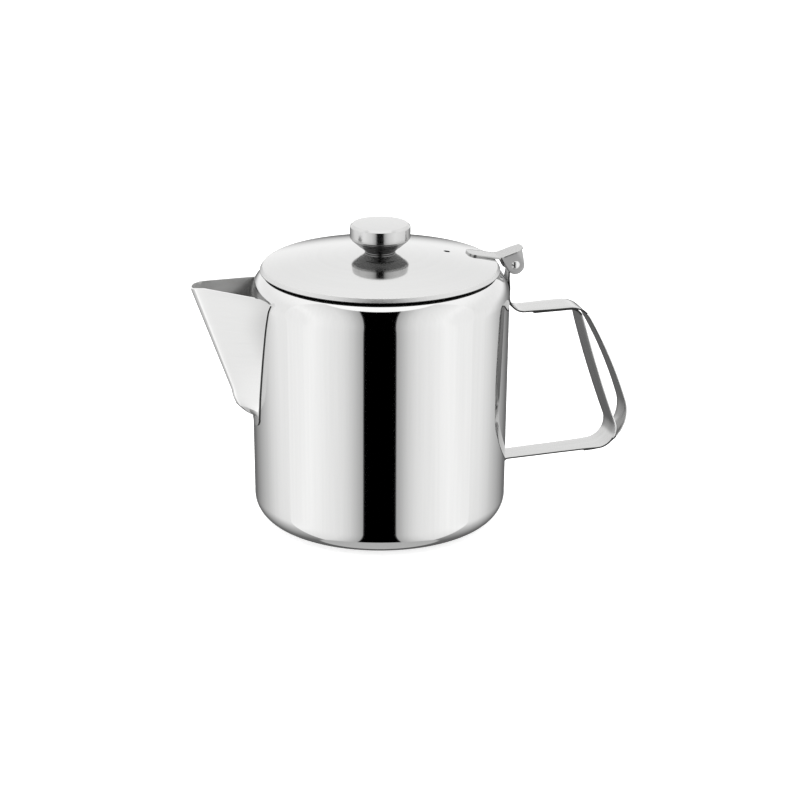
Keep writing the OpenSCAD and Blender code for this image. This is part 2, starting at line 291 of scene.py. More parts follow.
satin = metal("satin_steel", (0.47, 0.47, 0.467), 0.16, (30, 1500, 30), 0.07, 0.15, anisotropy=0.3, tone=0.14)
# Painted highlight: a lighter grey for the straps' side edges.
strap_painted_highlight = metal("strap_painted_highlight_steel", (0.74, 0.74, 0.737), 0.14, (900, 900, 900), 0.04, 0.1)
# Painted shade: near-black for thin edges and undersides that sit in shade.
painted_shade = metal("painted_shade_steel", (0.05, 0.05, 0.05), 0.5, (900, 900, 900), 0.08, 0.2)
bracket_finish = metal("bracket_steel", (0.42, 0.42, 0.417), 0.24, (300, 1800, 300), 0.06, 0.15)
# Painted shade: a darker grey for the bracket's ears than for its top.
ear_painted_shade = metal("bracket_ear_painted_shade_steel", (0.33, 0.33, 0.33), 0.34, (300, 300, 1800), 0.06, 0.2, tone=0.15)
pin_finish = metal("pin_steel", (0.62, 0.62, 0.617), 0.20, (900, 900, 900), 0.04, 0.1)
turned_steel = metal("knob_steel", (0.50, 0.50, 0.497), 0.15, (3500, 3500, 1800), 0.05, 0.2, turned=True)
# Painted shade: a dark grey for the stem, far below the other steel.
stem_painted_shade = metal("stem_painted_shade", (0.22, 0.22, 0.22), 0.26, (3500, 3500, 1800), 0.06, 0.2, turned=True,
                   tone=0.2)
fastener = metal("fastener_steel", (0.50, 0.50, 0.51), 0.35, (1500, 1500, 1500), 0.08, 0.2)


# ------------------------------------------------------------------------ body

BODY_R, BASE_R, CORNER_R = 61.0, 60.1, 11.4
SHOULDER_Z, SHOULDER_R, WALL = 109.5, 14.0, 0.8
MOUTH_R, LIP_Z = 50.0, 119.0
BEAD_R, BEAD_SINK, BEAD_FOOT = 0.9, 0.1, 0.55  # bead round the mouth, and how it sits in the shoulder
LIP_BEVEL_R, LIP_BEVEL_Z = 0.15, 0.3
SHEET_CENTRE_R = BODY_R - SHOULDER_R
BEAD_Z = SHOULDER_Z + math.sqrt(SHOULDER_R ** 2 - (MOUTH_R - SHEET_CENTRE_R) ** 2) - BEAD_SINK
ROUND_SEGMENTS, HOLE_SEGMENTS = 192, 24
STRAINER_Z, STRAINER_ROWS, HOLE_R, HOLE_STEP_Y, HOLE_STEP_Z = 70.0, 4, 2.0, 5.76, 8.0


def body_radius(z):
    """Outside radius of the body at a height."""
    if z > SHOULDER_Z:
        return SHEET_CENTRE_R + math.sqrt(max(SHOULDER_R ** 2 - (z - SHOULDER_Z) ** 2, 0))
    if z < CORNER_R:
        return BASE_R - CORNER_R + math.sqrt(max(CORNER_R ** 2 - (CORNER_R - z) ** 2, 0))
    return BASE_R + (BODY_R - BASE_R) * (z - CORNER_R) / (SHOULDER_Z - CORNER_R)


def line(a, b, steps):
    """Points between a and b, without the two ends."""
    return [Vector(a).lerp(Vector(b), k / steps) for k in range(1, steps)]


def body_profile():
    """The body's sheet as (radius, z): up the outside, over the lip and down the inside."""
    corner_x = BASE_R - CORNER_R
    outside_end = math.degrees(math.acos((MOUTH_R + BEAD_R + BEAD_FOOT - SHEET_CENTRE_R) / SHOULDER_R))
    inside_end = math.degrees(math.acos((MOUTH_R + WALL - SHEET_CENTRE_R) / (SHOULDER_R - WALL)))
    out = [Vector((0, 0))] + line((0, 0), (corner_x, 0), 6)
    out += arc(corner_x, CORNER_R, CORNER_R, -90, 0, 18)
    out += line((BASE_R, CORNER_R), (BODY_R, SHOULDER_Z), 26)
    out += arc(SHEET_CENTRE_R, SHOULDER_Z, SHOULDER_R, 0, outside_end, 20)
    out += arc(MOUTH_R + BEAD_R, BEAD_Z, BEAD_R, 5, 180, 10)
    out += [Vector((MOUTH_R, LIP_Z + LIP_BEVEL_Z)), Vector((MOUTH_R + LIP_BEVEL_R, LIP_Z)),
            Vector((MOUTH_R + WALL - LIP_BEVEL_R, LIP_Z)), Vector((MOUTH_R + WALL, LIP_Z + LIP_BEVEL_Z))]
    out += arc(SHEET_CENTRE_R, SHOULDER_Z, SHOULDER_R - WALL, inside_end, 0, 16)
    out += line((BODY_R - WALL, SHOULDER_Z), (BASE_R - WALL, CORNER_R), 26)
    out += arc(corner_x, CORNER_R, CORNER_R - WALL, 0, -90, 14)
    out += line((corner_x, WALL), (0, WALL), 4) + [Vector((0, WALL))]
    return out


def cutter(radius, low, high, place):
    """A cylinder that cuts a hole; place turns (across, across, along) into a point."""
    bm = bmesh.new()
    angles = [2 * math.pi * k / HOLE_SEGMENTS for k in range(HOLE_SEGMENTS)]
    rows = [[place(radius * math.cos(a), radius * math.sin(a), h) for a in angles] for h in (low, high)]
    made = skin(bm, rows, True)
    bm.faces.new(made[0])
    bm.faces.new(list(reversed(made[1])))
    return bm


def cut(piece, cutters):
    """Cuts the cutters out of the piece's mesh for good and marks its sharp edges again."""
    bm = bmesh.new()
    for tool in cutters:
        part = bpy.data.meshes.new("tool")
        bmesh.ops.recalc_face_normals(tool, faces=tool.faces)
        bmesh.ops.scale(tool, vec=(MM, MM, MM), verts=tool.verts)
        tool.to_mesh(part)
        tool.free()
        bm.from_mesh(part)
        bpy.data.meshes.remove(part)
    mesh = bpy.data.meshes.new("cutter")
    bm.to_mesh(mesh)
    bm.free()
    holder = bpy.data.objects.new("cutter", mesh)
    bpy.context.scene.collection.objects.link(holder)
    modifier = piece.modifiers.new("holes", "BOOLEAN")
    modifier.operation = "DIFFERENCE"
    modifier.solver = "EXACT"
    modifier.object = holder
    bpy.context.view_layer.update()
    evaluated = piece.evaluated_get(bpy.context.evaluated_depsgraph_get())
    result = bpy.data.meshes.new_from_object(evaluated)
    piece.modifiers.remove(modifier)
    old = piece.data
    piece.data = result
    bpy.data.objects.remove(holder)
    bpy.data.meshes.remove(mesh)
    bpy.data.meshes.remove(old)
    piece.data.set_sharp_from_angle(angle=math.radians(SHARP))


body = make_piece("teapot_body", revolve(body_profile(), ROUND_SEGMENTS, False), "pot", ["body_shell"],
                  polished)
strainer = []
for row in range(STRAINER_ROWS):
    for k in range(row + 2):
        hole_y = (k - (row + 1) / 2) * HOLE_STEP_Y
        hole_z = STRAINER_Z + HOLE_STEP_Z * row
        strainer.append(cutter(HOLE_R, -BODY_R - 2, -BODY_R + 6,
                               lambda a, b, h, y=hole_y, z=hole_z: (h, y + a, z + b)))
cut(body, strainer)
paint(body, body_inside, lambda centre, normal: normal.xy.dot(centre.xy) < 0 or (
    centre.z < 2 and normal.z > 0.5))


# ----------------------------------------------------------------------- spout

REACH, TIP_Z, RIM_Z, RIM_ANGLE = 90.2, 118.8, 117.1, 7.7
RIM_START, CREST_BACK = 2.5, 5.5  # RIM_Z is RIM_START off the body, the crest CREST_BACK behind the tip
SIDE_ANGLE, FRONT_RISE, SPOUT_T, INSIDE_LIFT = math.radians(30.0), 2.77, 0.9, 0.4
TIP_R, HEEL_R, HEEL_Z, HEEL_SHRINK = 5.8, 3.5, 68.0, 0.05
# Below the heel the nose falls back to the body: (drop below HEEL_Z, how far back).
HEEL = [(0.0, 0.0), (3.2, 0.6), (7.3, 2.2), (11.0, 5.9), (13.0, 9.0), (14.2, 11.6)]
# Half width of the spout where it meets the body: (height, half width).
SEAM = [(50.2, 3.2), (51.4, 5.2), (55.0, 7.0), (65.2, 8.6), (73.0, 10.3), (88.0, 13.6), (102.4, 16.9),
        (114.0, 20.5), (126.0, 23.5)]
# The rim's corner by the body on the near side: (in from the body's side, drop below RIM_Z).
NEAR_CORNER = [(0.0, 0.6), (2.5, 1.9), (5.0, 4.0), (13.0, 7.5)]
TONGUE = [(49.6, 0.5), (49.8, 2.2), (50.4, 3.9), (51.3, 5.4), (52.6, 6.5), (53.8, 7.1)]
LEVELS = [54.3, 54.8, 55.6, 56.6, 57.8, 59.2, 60.7, 62.4, 64.8, 66.4] + [HEEL_Z + 4.0 * k for k in range(11)]
# The lip along the seam: how far the side stands off, then the lip's width, height and rounded foot.
FLARE, LIP, LIP_T, LIP_FOOT, LIP_BULGE = 0.5, 0.35, 0.5, 0.28, (0.15, 0.08)
# The side turns in over CURL_LENGTH plus CURL_SPREAD times the width that it has to lose.
CURL_LENGTH, CURL_SPREAD = 2.0, 14
NOSE_STEPS, WALL_STEPS, LIP_STEPS, RIM_LEVELS = 10, 14, 5, 5
RIM_GUESS, RIM_PASSES = 112.0, 14  # a rim point is found by going back and forth between x and height


def table(stations, v):
    """Value at v from (position, value) stations, straight between them."""
    for (a, x), (b, y) in zip(stations, stations[1:]):
        if v <= b:
            return x + (y - x) * (v - a) / (b - a)
    return stations[-1][1]


def rim_height(x, far):
    """Height of the spout's rim along X: its near corner at the body dips, the far one runs on straight."""
    slope = math.tan(math.radians(RIM_ANGLE))
    crest = REACH - CREST_BACK
    crest_z = RIM_Z + (crest - BODY_R - RIM_START) * slope
    stations = [(-REACH - 4, TIP_Z - 2.2), (-REACH, TIP_Z), (-REACH + 2.2, crest_z - 0.3), (-crest, crest_z),
                (-BODY_R - RIM_START, RIM_Z)]
    if far:
        inner = NEAR_CORNER[-1][0]
        stations += [(-BODY_R + inner, RIM_Z - (RIM_START + inner) * slope)]
    else:
        stations += [(-BODY_R + inwards, RIM_Z - drop) for inwards, drop in NEAR_CORNER]
    return table(stations, x)


def spout_side(z, inset):
    """Half of the spout's plan at height z, from the nose to the body, as (x, y).

    The outside has inset 0, and ends in the lip along the seam. The inside is moved in by inset, and
    repeats its last point so that both have as many points.
    """
    drop = max(HEEL_Z - z, 0)
    back = table([(d, b - d / FRONT_RISE) for d, b in HEEL], drop) if drop else 0.0
    nose_x = -REACH - (z - TIP_Z) / FRONT_RISE + back
    if z > HEEL_Z:
        r = HEEL_R + (TIP_R - HEEL_R) * (z - HEEL_Z) / (TIP_Z - HEEL_Z)
    else:
        r = HEEL_R - HEEL_SHRINK * drop
    seam, skin_r = table(SEAM, z) - inset, body_radius(z)
    centre_x = nose_x + r
    r -= inset
    seam_x = -math.sqrt(skin_r ** 2 - seam ** 2)
    end_x = seam_x - (FLARE if inset == 0 else 0)
    nose_angles = [k * (math.pi / 2 - SIDE_ANGLE) / NOSE_STEPS for k in range(NOSE_STEPS + 1)]
    points = [(centre_x - r * math.cos(a), r * math.sin(a)) for a in nose_angles]
    x0, y0 = points[-1]
    wall_y = y0 + (end_x - x0) * math.tan(SIDE_ANGLE)
    curl = max(wall_y - seam, 0.0)
    turn_x = max(end_x - CURL_LENGTH - CURL_SPREAD * curl, x0)
    for k in range(1, WALL_STEPS + 1):
        x = x0 + (end_x - x0) * k / WALL_STEPS
        y = y0 + (x - x0) * math.tan(SIDE_ANGLE)
        if wall_y < seam:
            y += (seam - wall_y) * (k / WALL_STEPS) ** 2
        elif x > turn_x:
            y -= curl * ((x - turn_x) / (end_x - turn_x)) ** 2
        points.append((x, y))
    if inset == 0:
        x1, y1 = points[-1]
        edge_y = seam + LIP
        edge_x = -math.sqrt((skin_r + LIP_T) ** 2 - edge_y ** 2)
        for k in range(1, LIP_STEPS + 1):
            t = k / LIP_STEPS
            start, middle, end = (1 - t) ** 2, 2 * t * (1 - t), t * t
            points.append((start * x1 + middle * (x1 + LIP_BULGE[0]) + end * edge_x,
                           start * y1 + middle * (y1 + LIP_BULGE[1]) + end * edge_y))
        foot_y = edge_y + LIP_FOOT
        points.append((-math.sqrt(skin_r ** 2 - foot_y ** 2), foot_y))
    else:
        points += [points[-1]] * (LIP_STEPS + 1)
    lift = LIP_T if inset == 0 else 0.0
    held = []
    for k, (x, y) in enumerate(points):
        last = k == len(points) - 1
        held.append((min(x, -math.sqrt(max((skin_r + (0.0 if last else lift)) ** 2 - y * y, 0))), y))
    return held


def tongue_side(z, half_width, count, lift):
    """Half a row of the lip below the heel, lying on the body."""
    skin_r = body_radius(z)
    out = []
    for k in range(count):
        y = half_width * k / (count - 1)
        out.append((-math.sqrt((skin_r + (0.0 if k == count - 1 else lift)) ** 2 - y * y), y))
    return out


def both_sides(near, far):
    """A whole row of the spout from two halves given for positive y; near is the camera's side."""
    return [(x, -y, z) for x, y, z in reversed(near[1:])] + far


def rim_row(start, inset, far, share):
    """Half a row part of the way from the last level row up to the rim."""
    row = []
    for k, (_, _, low) in enumerate(start):
        z = RIM_GUESS
        for _ in range(RIM_PASSES):
            z = rim_height(spout_side(z, inset)[k][0], far)
        z = low + (z - low) * share
        x, y = spout_side(z, inset)[k]
        row.append((x, y, z))
    return row


def spout_mesh():
    """The spout as one closed sheet: outside, rim and inside; inside faces take material 1, the faces along
    the seam material 2, which is painted shade.
    """
    count = len(spout_side(HEEL_Z, 0.0))
    outside, inside = [], []
    for z, w in TONGUE:
        outside.append([(x, y, z) for x, y in tongue_side(z, w + LIP_T, count, LIP_T)])
        inside.append([(x, y, z) for x, y in tongue_side(z, w, count, 0.0)])
    for z in LEVELS:
        outside.append([(x, y, z) for x, y in spout_side(z, 0.0)])
        inside.append([(x, y, z + INSIDE_LIFT) for x, y in spout_side(z + INSIDE_LIFT, SPOUT_T)])
    loops = []
    for a, b in zip(outside, inside):
        loops.append(both_sides(a, a) + list(reversed(both_sides(b, b))))
    for level in range(1, RIM_LEVELS + 1):
        row = []
        for rows, inset in ((outside, 0.0), (inside, SPOUT_T)):
            near, far = [rim_row(rows[-1], inset, side, level / RIM_LEVELS) for side in (False, True)]
            part = both_sides(near, far)
            row += list(reversed(part)) if inset else part
        loops.append(row)
    bm = bmesh.new()
    verts = skin(bm, loops, True)
    n = 2 * count - 1
    for low, high in zip(verts, verts[1:]):
        for slot, places in ((1, range(n, 2 * n - 1)), (2, (0, n - 2))):
            for k in places:
                for face in set(low[k].link_faces) & set(high[k + 1].link_faces):
                    face.material_index = slot
    top, low = verts[-1], verts[0]
    for k in range(n - 1):
        bm.faces.new((top[k], top[k + 1], top[2 * n - 2 - k], top[2 * n - 1 - k]))
        bm.faces.new((low[k + 1], low[k], low[2 * n - 1 - k], low[2 * n - 2 - k]))
    return bm


spout = make_piece("spout_shell", spout_mesh(), "pot", ["spout"], spout_polish, sharp=40)
spout.data.materials.append(spout_inside)
# Material 2 is painted shade along the seam.
spout.data.materials.append(painted_shade)
edge = spout.modifiers.new("edge", "BEVEL")
edge.width = 0.2 * MM
edge.segments = 2
edge.limit_method = "ANGLE"
edge.angle_limit = math.radians(80)


# ---------------------------------------------------------------------- handle

STRAP_T, STRAP_CORNER_R, PIN_X, PIN_Z, PIN_D, PIN_GAP = 0.8, 0.3, 65.0, 120.3, 3.0, 0.05
CURL_R = PIN_D / 2 + PIN_GAP + STRAP_T / 2
WELD_Z, WELD_GAP, FOOT_SLOPE, TILT, STRAP_Z, INNER_X = 106.3, 0.35, 2.2, 1.0, 97.5, 74.0
GRIP_LOW_Z, GRIP_HIGH_Z = 30, 94
LEAN = math.degrees(math.atan((PIN_X - CURL_R - (BODY_R + WELD_GAP + STRAP_T / 2)) / (PIN_Z - WELD_Z)))

# Runs and bends of the straps for walk(), from the pin and from under the outer strap.
outer_steps = [[(PIN_Z - WELD_Z) / math.cos(math.radians(LEAN)), 0], [10, LEAN], [8, 90 + TILT], [22, 0],
               [12.5, -60 - TILT], [227.5, -12], [18.2, -108 + FOOT_SLOPE], [4, 0]]
inner_steps = [[18.7, 0], [6, -74.75 - TILT], [600.5, 5.5], [9.5, -110.75 + FOOT_SLOPE], [45.15, 0],
               [2.2, 90 - FOOT_SLOPE], [1.5, 0]]
# Half widths of the straps: (length so far, half width).
outer_width = [(0, 2.8), (4, 2.8), (13.5, 7.0), (27, 7.0), (44, 8.0), (52, 8.0), (64, 6.9), (78, 6.6),
               (104, 6.6), (126, 6.9), (150, 6.9)]
inner_width = [(0, 7.2), (18, 7.3), (34, 8.8), (50, 9.0), (84, 9.0), (93, 8.7), (112, 7.1), (125, 6.8),
               (152, 6.5)]


def outer_strap():
    """The knuckle round the pin, the run down the body, the top of the handle and the grip's outside."""
    bm = bmesh.new()
    curl = [(Vector((PIN_X + CURL_R * math.cos(a), PIN_Z + CURL_R * math.sin(a))), math.degrees(a) + 90, 0.0)
            for a in (math.radians(-150 + 10 * k) for k in range(33))]
    down = walk((PIN_X - CURL_R, PIN_Z), -90 - LEAN, outer_steps)
    path = [(p, h, 0.0) for p, h, _ in curl] + down
    strip(bm, path, [smooth_between(outer_width, s) for _, _, s in path], STRAP_T, STRAP_CORNER_R)
    return bm


def inner_strap():
    """The strap under the first one, down the grip's inside and back to the body."""
    bm = bmesh.new()
    path = walk((INNER_X, STRAP_Z - STRAP_T), TILT, inner_steps)
    strip(bm, path, [smooth_between(inner_width, s) for _, _, s in path], STRAP_T, STRAP_CORNER_R)
    return bm


for strap in (make_piece("handle_outer", outer_strap(), "pot", ["handle_outer_strap"], satin),
              make_piece("handle_inner", inner_strap(), "pot", ["handle_inner_strap"], satin)):
    # Painted highlight on the straps' side edges; painted shade on their lower edges, and on their side edges
    # above and below the grip.
    paint(strap, strap_painted_highlight, lambda centre, normal: abs(normal.y) > 0.3)
    paint(strap, painted_shade, lambda centre, normal: abs(normal.y) > 0.15 and (
        normal.z < -0.25 or (normal.z < 0.9 and not GRIP_LOW_Z < centre.z < GRIP_HIGH_Z)))


# ------------------------------------------------------------------------- lid

DOME_R, DOME_H, CREASE_Z, RIM_OUT, RIM_DROP = 55.1, 6.2, 123.9, 1.4, 2.1
DOME_SPHERE_R = (DOME_R ** 2 + DOME_H ** 2) / (2 * DOME_H)
DOME_TOP_Z = CREASE_Z + DOME_H
SCREW_D, SCREW_GAP = 4.0, 0.1
VENT_X, VENT_R = 32.5, 1.5
PLATE_STEPS = 26


def dome_z(x, r):
    """Height at a radius of the dome's sphere; r is the sphere's radius, outside or inside."""
    return DOME_TOP_Z - DOME_SPHERE_R + math.sqrt(r * r - x * x)


def lid_profile():
    """The lid's sheet as (radius, z): out over the dome, down the rim and back underneath."""
    rim_r, rim_z = DOME_R + RIM_OUT, CREASE_Z - RIM_DROP
    hole = SCREW_D / 2 + SCREW_GAP
    crease_r = 0.9
    xs = [hole + (DOME_R - crease_r - hole) * k / PLATE_STEPS for k in range(PLATE_STEPS + 1)]
    out = [Vector((x, dome_z(x, DOME_SPHERE_R))) for x in xs]
    out += fillet([(xs[-1], out[-1].y, 0), (DOME_R, CREASE_Z, crease_r), (rim_r, rim_z + 0.1, 0.25),
                   (rim_r - 0.1, rim_z, 0), (rim_r - WALL, rim_z, 0)])[1:]
    under = DOME_SPHERE_R - WALL
    xs = [DOME_R - WALL - (DOME_R - WALL - hole) * k / PLATE_STEPS for k in range(PLATE_STEPS + 1)]
    out += [Vector((x, dome_z(x, under))) for x in xs]
    return out


lid = make_piece("lid_dome", revolve(lid_profile(), ROUND_SEGMENTS, True), "lid", ["lid"],
                 lid_polish)
cut(lid, [cutter(VENT_R, CREASE_Z, CREASE_Z + 2 * DOME_H, lambda a, b, h: (VENT_X + a, b, h))])
paint(lid, rim_satin, lambda centre, normal: centre.xy.length > DOME_R)
paint(lid, lid_under, lambda centre, normal: normal.z < -0.1)
# Painted shade on the rim's lower part and on the outer ring of the underside.
paint(lid, painted_shade, lambda centre, normal: centre.xy.length > DOME_R - 1 and (
    normal.z < -0.1 or centre.z < CREASE_Z - 1.1))


# ----------------------------------------------------------------------- hinge

BRACKET_W, BRACKET_T, BRACKET_Z, EAR_R, BEND_R = 5.4, 0.8, 126.4, 4.4, 1.2  # BRACKET_W is half the width
TONGUE_X, THUMB_X, TONGUE_END_R, THUMB_END_R = 42.5, 69.6, 3.5, 4.5
EAR_FRONT_X, EAR_REAR_X, EAR_STEPS, SIDE_STEPS, FOLD_STEPS = 58.0, 68.4, 30, 5, 6
BRACKET_HEADING, BRACKET_STEPS = -10.6, [[14.2, 0], [2.4, 28.3], [13, 0]]


def along(path, x):
    """Point and heading of a path at a place along X."""
    for (p, h, _), (q, g, _) in zip(path, path[1:]):
        if p.x <= x <= q.x:
            t = (x - p.x) / (q.x - p.x)
            return p.lerp(q, t), h + (g - h) * t
    return path[-1][0], path[-1][1]


def bracket_mesh():
    """The bracket's upper surface, from the tongue over the two ears to the thumb rest."""
    path = walk((TONGUE_X, BRACKET_Z + BRACKET_T / 2), BRACKET_HEADING, BRACKET_STEPS)
    ear = [Vector((EAR_FRONT_X, along(path, EAR_FRONT_X)[0].y)), Vector((PIN_X - 4.1, PIN_Z - 1.6))]
    ear += arc(PIN_X, PIN_Z, EAR_R, -158, 17, 20)
    ear.append(Vector((EAR_REAR_X, along(path, EAR_REAR_X)[0].y)))
    lengths = [0.0]
    for a, b in zip(ear, ear[1:]):
        lengths.append(lengths[-1] + (b - a).length)

    def ear_point(t):
        """Point of the ear's outline at a share of its length."""
        want = t * lengths[-1]
        for i in range(len(ear) - 1):
            if want <= lengths[i + 1] + 1e-9:
                return ear[i].lerp(ear[i + 1], (want - lengths[i]) / (lengths[i + 1] - lengths[i]))
        return ear[-1]

    # A station is (x, half width, lowest point of the ear); the first is worked out where it is None.
    stations = []
    for k in range(9):
        a = math.radians(90 * k / 8)
        stations.append((TONGUE_X + TONGUE_END_R * (1 - math.cos(a)),
                         BRACKET_W - TONGUE_END_R * (1 - math.sin(a)), None))
    stations += [(x, BRACKET_W, None) for x in (48.0, 50.5, 53.0, 55.0, 56.0, 56.5, 56.8, 57.1, 57.4, 57.7)]
    for k in range(EAR_STEPS + 1):
        t = k / EAR_STEPS
        stations.append((EAR_FRONT_X + (EAR_REAR_X - EAR_FRONT_X) * t, None, ear_point(t)))
    for k in range(8, -1, -1):
        a = math.radians(90 * k / 8)
        w = BRACKET_W - THUMB_END_R * (1 - math.sin(a))
        x = THUMB_X - THUMB_END_R * (1 - math.cos(a))
        if x > EAR_REAR_X + 0.1:
            stations.append((x, w, None))
    rows = []
    for x, w, low in stations:
        p, h = along(path, x)
        normal = Vector((-math.sin(math.radians(h)), math.cos(math.radians(h))))
        top = p + normal * BRACKET_T / 2
        if w is None:
            back = max(0.0, THUMB_END_R - (THUMB_X - x))
            w = BRACKET_W - THUMB_END_R + math.sqrt(THUMB_END_R ** 2 - back ** 2)
        depth = (top - low).length if low is not None else 0.0
        reach = min(1.0, depth / (2 * BEND_R))
        bend = BEND_R * reach
        side = []
        for k in range(FOLD_STEPS + 1):
            a = math.radians(90 * k / FOLD_STEPS * reach)
            side.append((w - bend + bend * math.sin(a), top - normal * bend * (1 - math.cos(a))))
        start = side[-1][1]
        for k in range(1, SIDE_STEPS + 1):
            side.append((w, start.lerp(low, k / SIDE_STEPS) if low is not None else start))
        half = [(side[0][0] * k / 3, top) for k in range(3)] + side
        rows.append([(q.x, -y, q.y) for y, q in reversed(half[1:])] + [(q.x, y, q.y) for y, q in half])
    bm = bmesh.new()
    skin(bm, rows, False)
    return bm


bracket = make_piece("hinge_bracket_sheet", bracket_mesh(), "lid", ["hinge_bracket"],
                     bracket_finish)
sheet = bracket.modifiers.new("sheet", "SOLIDIFY")
sheet.thickness = BRACKET_T * MM
sheet.offset = -1.0
sheet.use_even_offset = False
# The sheet's inner faces, under the top and inside the ears, take material 1: painted shade.
sheet.material_offset = 1
bracket.data.materials.append(painted_shade)
# Painted shade on the bracket's ears, its faces that turn sideways.
paint(bracket, ear_painted_shade, lambda centre, normal: abs(normal.y) > 0.8)
soft = bracket.modifiers.new("edge", "BEVEL")
soft.width = 0.12 * MM
soft.segments = 2
soft.limit_method = "ANGLE"
soft.angle_limit = math.radians(50)


def pin_mesh():
    """The pin with its two domed heads, turned upright and then laid along Y."""
    head_r, head_h = 2.1, 0.9
    sphere = (head_r ** 2 + head_h ** 2) / (2 * head_h)
    radii = [head_r * k / 8 for k in range(9)]
    dome = [Vector((r, BRACKET_W + head_h - sphere + math.sqrt(sphere ** 2 - r ** 2))) for r in radii]
    half = dome + [Vector((head_r, BRACKET_W)), Vector((PIN_D / 2, BRACKET_W))]
    bm = revolve(half + [Vector((r, -z)) for r, z in reversed(half)], 48, False)
    for v in bm.verts:
        x, y, z = v.co
        v.co = (PIN_X + x, z, PIN_Z + y)
    return bm


make_piece("hinge_rivet", pin_mesh(), "lid", ["hinge_pin"], pin_finish, sharp=40)


# ------------------------------------------------------------------------ knob

KNOB_TOP_Z, KNOB_R, KNOB_SIDE_H, NECK_R = 143.7, 14.2, 6.6, 7.2
CAP_SIDE_Z = KNOB_TOP_Z - KNOB_SIDE_H


def knob_cap_profile():
    """The hollow cap, from the middle of its top round to the middle of the hollow."""
    inner, top = KNOB_R - 1.0, KNOB_TOP_Z - 1.0
    return fillet([(0, KNOB_TOP_Z, 0), (KNOB_R - 1.2, KNOB_TOP_Z, 0.35), (KNOB_R, KNOB_TOP_Z - 1.2, 0.5),
                   (KNOB_R, CAP_SIDE_Z, 0.3), (KNOB_R - 0.9, CAP_SIDE_Z - 0.9, 0.2),
                   (KNOB_R - 1.6, CAP_SIDE_Z - 0.2, 0), (inner, CAP_SIDE_Z + 0.4, 0),
                   (inner, KNOB_TOP_Z - 1.6, 0), (KNOB_R - 1.6, top, 0), (0, top, 0)])


def knob_base_profile():
    """The stem, from the screw's bore out over the neck and the cone and back through the hollow."""
    rim_r, rim_z = KNOB_R - 1.6, CAP_SIDE_Z - 0.2
    step_r, step_z, bore_z = 9.9, CAP_SIDE_Z - 4.1, CAP_SIDE_Z - 1.7
    return fillet([(SCREW_D / 2, DOME_TOP_Z, 0), (NECK_R, DOME_TOP_Z, 0.15), (NECK_R, DOME_TOP_Z + 0.6, 0.3),
                   (step_r - 0.6, step_z - 0.3, 0.25), (step_r, step_z, 0.2), (rim_r + 0.9, rim_z - 0.7, 0.2),
                   (rim_r, rim_z, 0), (rim_r - 1, rim_z, 0), (step_r - 0.8, step_z + 1, 0),
                   (5, step_z + 1, 0),
                   (5, bore_z + 1, 0), (0, bore_z + 1, 0), (0, bore_z, 0), (SCREW_D / 2, bore_z, 0),
                   (SCREW_D / 2, DOME_TOP_Z, 0)])


KNOB_SEGMENTS = 96
make_piece("knob_grip", revolve(knob_cap_profile(), KNOB_SEGMENTS, False), "lid", ["knob_cap"],
           turned_steel)
make_piece("knob_stem", revolve(knob_base_profile(), KNOB_SEGMENTS, False), "lid", ["knob_base"],
           stem_painted_shade)

for node in ("knob_washer", "knob_screw"):
    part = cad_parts[node]
    part.data.materials.clear()
    part.data.materials.append(fastener)


# ---------------------------------------------------------------- studio, floor

# Tone of the studio by the angle, in degrees, from the camera's direction as it lies on the floor. The
# dark panel round the camera gives the body its black stripe. Past 90 degrees is behind the pot.
TONES = [(0, 0.0), (13.3, 0.0), (14.0, 0.36), (17, 0.44), (24, 0.62), (31, 0.74), (47, 0.84), (57, 0.91),
         (62, 0.90), (66.5, 0.86), (112, 0.80), (116, 0.745), (122, 0.65), (130, 0.50), (143, 0.32),
         (158, 0.13), (175, 0.08)]
LIGHT_STRENGTH = 1.62
FLOOR_HALF, FLOOR_Z, FLOOR_GLOW = 6000.0, -0.3, 0.55


